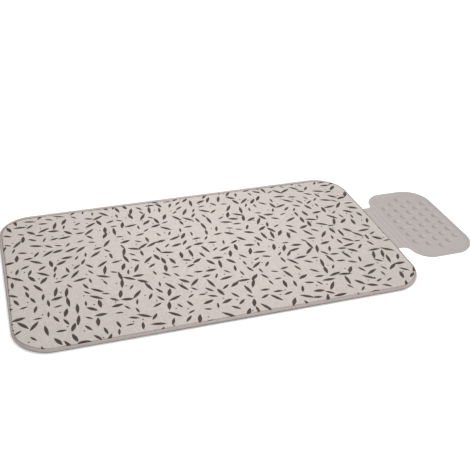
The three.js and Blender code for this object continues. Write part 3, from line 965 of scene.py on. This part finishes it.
def edge_drop(distance, radius=EDGE_ROUND):
    """How far a rounded edge falls at a distance inside the outline."""
    d = np.clip(distance, 0, radius)
    return radius - np.sqrt(np.maximum(radius**2 - (radius - d) ** 2, 0))


def row_across(x):
    """Places across the rest at one X, close together in its rounded sides, and their distance inside."""
    half = float(rest_half_width(x))
    ahead, behind = rest_half_width(x + SLOPE_REACH), rest_half_width(x - SLOPE_REACH)
    slope = float(ahead - behind) / (2 * SLOPE_REACH)
    lean = max(1 / math.hypot(1, slope), LEAST_LEAN)
    rounding = np.array(NECK_ROUNDING) * EDGE_ROUND / lean
    across = np.linspace(-1, 1, NECK_COLUMNS)[1:-1] * (half - 2 * EDGE_ROUND / lean)
    ys = np.concatenate([rounding - half, across, half - rounding[::-1]])
    return ys + REST_Y, (half - np.abs(ys)) * lean


def neck_strip(name, xs, flat=False):
    """Stretch of the neck through several places along X, rounded along its two sides."""
    rows = []
    for x in xs:
        ys, inside = row_across(x)
        height = GROOVE_THICKNESS if flat else float(rest_top(x))
        sewn = SEW_DEPTH if abs(x - SEW_X) < SEW_HALF else 0
        low = np.maximum(edge_drop(inside, LOWER_ROUND), sewn)
        upper = np.column_stack([np.full(len(ys), x), ys, height - edge_drop(inside)])
        lower = np.column_stack([np.full(len(ys), x), ys, np.minimum(low, upper[:, 2])])
        rows.append(np.concatenate([upper, lower[::-1]]))
    verts, faces = skin_rows(rows, False)
    return mesh_object(name, verts, faces, [SILICONE], SILICONE_SHARP)


def tongue_flap():
    """Tongue under the bound edge: rounded corners, and a groove below for its sewing thread."""
    tip = TONGUE_LOW.x + TONGUE_CORNER * (1 - np.cos(np.linspace(0, math.pi / 2, TIP_ROWS)))
    walls = SEW_X + SEW_HALF * np.array(SEW_WALLS)
    rest = np.linspace(PAD_HALF_X - TONGUE_STRAIGHT, GROOVE_X[0] - WEB_HALF, TONGUE_ROWS)
    return neck_strip("rest_tongue_flap", np.concatenate([tip, walls, rest]), True)


def dome_centres():
    """Places of the domes: columns of unlike counts, each centred on the rest."""
    centres = []
    for column, count in enumerate(DOME_COLUMNS):
        x = DOME_FIELD_START + DOME_COLUMN_PITCH * column
        centres += [(x, REST_Y + DOME_PITCH * (row - (count - 1) / 2)) for row in range(count)]
    return np.array(centres)


def plate_inset(x, y):
    """Distance of a point in plan inside the plate, whose corners differ at its two ends."""
    middle = (PLATE_START + PLATE_END) / 2
    corner = np.where(x < middle, NEAR_CORNER, FAR_CORNER)
    qx = np.where(x < middle, PLATE_START - x, x - PLATE_END) + corner
    qy = np.abs(y - REST_Y) - PLATE_HALF + corner
    outside = np.hypot(np.maximum(qx, 0), np.maximum(qy, 0))
    return corner - outside - np.minimum(np.maximum(qx, qy), 0)


def plate_height(x, y):
    """Top of the plate: the last rib, the rim that slopes to the pocket, and the domes."""
    inset = plate_inset(x, y)
    slope = smooth((RIM_WIDTH - inset) / (RIM_WIDTH - RIM_CREST))
    pocket = POCKET_FLOOR + (RIM_HEIGHT - POCKET_FLOOR) * slope
    climb = rest_top(x)
    z = (climb + pocket - np.hypot(climb - pocket, POCKET_BLEND)) / 2
    for cx, cy in dome_centres():
        r = np.hypot(x - cx, y - cy) / DOME_RADIUS
        bump = POCKET_FLOOR + DOME_RISE * np.maximum(1 - r * r, 0) ** DOME_POWER
        z = np.where(r < 1, np.maximum(z, bump), z)
    return z - edge_drop(inset)


def plate_outline(inset):
    """Points round the plate beyond its first groove, a distance inside the edge."""
    near_x, near_y = PLATE_START + NEAR_CORNER, PLATE_HALF - NEAR_CORNER
    far_x, far_y = PLATE_END - FAR_CORNER, PLATE_HALF - FAR_CORNER
    corners = [
        (near_x, -near_y, NEAR_CORNER, math.pi, 1.5 * math.pi),
        (far_x, -far_y, FAR_CORNER, 1.5 * math.pi, 2 * math.pi),
        (far_x, far_y, FAR_CORNER, 0, math.pi / 2),
        (near_x, near_y, NEAR_CORNER, math.pi / 2, math.pi),
    ]
    path = []
    for x, y, radius, start, end in corners:
        angles = np.linspace(start, end, round(radius * (end - start) / PLATE_STEP) + 1)
        path.append(np.column_stack([np.cos(angles), np.sin(angles)]) * (radius - inset) + (x, y))
    line = np.concatenate(path)
    spread = [line[:1]]
    for a, b in zip(line[:-1], line[1:]):
        pieces = max(round(np.linalg.norm(b - a) / PLATE_STEP), 1)
        spread.append(a + (b - a) * (np.arange(1, pieces + 1) / pieces)[:, None])
    line = np.concatenate(spread)
    return line[line[:, 0] > GROOVE_X[-1] + WEB_HALF + OUTLINE_MARGIN] + (0, REST_Y)


def plate_fill(near):
    """Points in plan inside the plate's edge: along its rim and ramp, on each dome, and between them."""
    domes = dome_centres()
    fill = [plate_outline(share * EDGE_ROUND) for share in PLATE_ROUNDING]
    fill += [plate_outline(inset) for inset in np.linspace(RIM_CREST, RIM_WIDTH, RIM_ROWS)]
    ramp_end = GROOVE_X[-1] + PLATE_RAMP
    for x in np.arange(near + RAMP_STEP, ramp_end, RAMP_STEP):
        reach = float(rest_half_width(x))
        ys = REST_Y + np.linspace(-reach, reach, RAMP_COLUMNS)
        keep = plate_inset(x, ys) > RAMP_MARGIN
        for cx, cy in domes:
            keep &= np.hypot(x - cx, ys - cy) > DOME_RADIUS * RAMP_CLEAR
        fill.append(np.column_stack([np.full(len(ys), x), ys])[keep])
    angles = np.arange(DOME_SIDES) / DOME_SIDES * 2 * math.pi
    circle = np.column_stack([np.cos(angles), np.sin(angles)]) * DOME_RADIUS
    for centre in domes:
        fill += [circle * share + centre for share in DOME_RINGS]
    across = np.arange(-PLATE_HALF, PLATE_HALF, PLATE_GRID)
    xs, ys = np.meshgrid(np.arange(ramp_end, PLATE_END, PLATE_GRID), across)
    panel = np.column_stack([xs.ravel(), ys.ravel() + REST_Y])
    panel = panel[plate_inset(panel[:, 0], panel[:, 1]) > RIM_WIDTH + PANEL_MARGIN]
    for cx, cy in domes:
        panel = panel[np.hypot(panel[:, 0] - cx, panel[:, 1] - cy) > DOME_RADIUS * PANEL_CLEAR]
    return np.concatenate([*fill, panel])


def plate_piece():
    """Moulded plate as one smooth closed body."""
    near = GROOVE_X[-1] + WEB_HALF
    back = row_across(near)[0][::-1]
    edge = [plate_outline(0), np.column_stack([np.full(len(back), near), back])]
    edge = np.concatenate(edge)
    points = [Vector(p) for p in np.concatenate([edge, plate_fill(near)])]
    outline = list(range(len(edge)))
    flat, _, faces, _, _, _ = delaunay_2d_cdt(points, [], [outline], 1, MESH_TOLERANCE, True)
    plan = np.array(flat)
    x, y = plan[:, 0], plan[:, 1]
    upper = np.column_stack([plan, plate_height(x, y)])
    lower = np.column_stack([plan, edge_drop(plate_inset(x, y), LOWER_ROUND)])
    verts = np.concatenate([upper, lower])
    shell = doubled(faces, len(plan))
    return mesh_object("rest_plate_moulding", verts, shell, [SILICONE], SILICONE_SHARP)


# Stage

def make_floor():
    """Plain pale floor, a little below the blanket."""
    material, tree, shader = new_material("floor", (FLOOR_TONE, FLOOR_TONE, FLOOR_TONE), 0.9)
    shader.inputs["Emission Color"].default_value = (1, 1, 1, 1)
    where = add_node(tree, "ShaderNodeTexCoord")
    apart = add_node(tree, "ShaderNodeVectorMath", {"operation": "DISTANCE"})
    tree.links.new(where.outputs["Object"], apart.inputs[0])
    apart.inputs[1].default_value = (POOL_PLACE.x, POOL_PLACE.y, 0)
    glow = ramped(tree, apart.outputs["Value"], GLOW_REACH, GLOW_STRENGTH, "SMOOTHSTEP")
    tree.links.new(glow.outputs["Result"], shader.inputs["Emission Strength"])
    bpy.ops.mesh.primitive_plane_add(size=FLOOR_SIZE, location=(0, 0, -FLOOR_DROP))
    floor = bpy.context.object
    floor.name = "floor"
    floor.data.materials.append(material)


def make_lights():
    """World light by direction, the soft key and the pool."""
    world = bpy.data.worlds.new("studio")
    bpy.context.scene.world = world
    world.use_nodes = True
    tree = world.node_tree
    sky = tree.nodes["Background"]
    sky.inputs["Color"].default_value = (1, 1, 1, 1)
    where = add_node(tree, "ShaderNodeTexCoord")
    axes = add_node(tree, "ShaderNodeSeparateXYZ")
    tree.links.new(where.outputs["Generated"], axes.inputs[0])
    lean = add_node(tree, "ShaderNodeVectorMath", {"operation": "DOT_PRODUCT"})
    tree.links.new(where.outputs["Generated"], lean.inputs[0])
    lean.inputs[1].default_value = SKY_LEAN
    high = add_node(tree, "ShaderNodeMath", {"operation": "MULTIPLY_ADD"})
    tree.links.new(lean.outputs["Value"], high.inputs[0])
    high.inputs[1].default_value = SKY_STRENGTH
    high.inputs[2].default_value = SKY_STRENGTH
    climb = ramped(tree, axes.outputs["Z"], (0, HORIZON_RISE), (HORIZON_STRENGTH, SKY_STRENGTH))
    tree.links.new(high.outputs["Value"], climb.inputs["To Max"])
    tree.links.new(climb.outputs["Result"], sky.inputs["Strength"])
    key = bpy.data.lights.new("key", "SUN")
    key.energy = KEY_STRENGTH
    key.angle = KEY_SPREAD
    behind = bpy.data.objects.new("key", key)
    behind.rotation_euler = KEY_FROM.to_track_quat("Z", "Y").to_euler()
    bpy.context.scene.collection.objects.link(behind)
    pool = bpy.data.lights.new("pool", "SPOT")
    pool.energy = POOL_POWER
    pool.shadow_soft_size = POOL_SIZE
    pool.spot_size = POOL_CONE
    pool.spot_blend = 1
    above = bpy.data.objects.new("pool", pool)
    above.location = POOL_PLACE
    bpy.context.scene.collection.objects.link(above)


def make_camera():
    """The photograph's camera."""
    cam = bpy.data.cameras.new("camera")
    cam.sensor_width = CAMERA_SENSOR
    cam.lens = CAMERA_LENS
    cam.shift_x, cam.shift_y = CAMERA_SHIFT
    a, e = CAMERA_AZIMUTH, CAMERA_ELEVATION
    back = Vector((math.sin(a) * math.cos(e), -math.cos(a) * math.cos(e), math.sin(e)))
    right = Vector((math.cos(a), math.sin(a), 0))
    turn = Matrix.Rotation(CAMERA_ROLL, 3, back)
    right = turn @ right
    up = back.cross(right)
    obj = bpy.data.objects.new("camera", cam)
    place = Matrix((right, up, back)).transposed().to_4x4()
    place.translation = CAMERA_TARGET + back * CAMERA_DISTANCE
    obj.matrix_world = place
    bpy.context.scene.collection.objects.link(obj)
    bpy.context.scene.camera = obj


def stand_for(piece, node, body):
    """The piece takes the node's place on its body."""
    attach(piece, body)
    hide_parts(node)


make_camera()
make_floor()
make_lights()
bpy.context.scene.view_settings.view_transform = "Standard"

base = layer_piece("base_cloth_sheet", 0, BASE)
felt = layer_piece("felt_padding", 1, FELT)
foam = layer_piece("foam_padding", 2, FOAM)
cover = cover_piece()
binding = binding_piece()
needle = ditch_stitches("binding_needle_stitches", True)
bobbin = ditch_stitches("binding_bobbin_stitches", False)
tongue = tongue_flap()
tongue_seam = tongue_stitches()
stand_for(base, "base_cloth", "blanket")
stand_for(felt, "felt_layer", "blanket")
stand_for(foam, "foam_layer", "blanket")
stand_for(cover, "top_cover", "blanket")
stand_for(binding, "edge_binding", "blanket")
stand_for(needle, "binding_needle_thread", "blanket")
stand_for(bobbin, "binding_bobbin_thread", "blanket")
stand_for(tongue, "rest_tongue", "blanket")
stand_for(tongue_seam, "tongue_thread", "blanket")
for number in range(1, len(GROOVE_X)):
    xs = np.linspace(GROOVE_X[number - 1] + WEB_HALF, GROOVE_X[number] - WEB_HALF, RIB_ROWS)
    rib = neck_strip(f"neck_rib_{number}_moulding", xs)
    stand_for(rib, f"neck_rib_{number}", f"rib_{number}")
plate = plate_piece()
stand_for(plate, "rest_plate", "plate")
for joint in frame["joints"]:
    x = joint["pos_m"][0]
    web = neck_strip(f"neck_web_{joint['name']}", np.linspace(x - WEB_HALF, x + WEB_HALF, WEB_ROWS))
    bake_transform(web)

stations(STITCH_PITCH)[3]
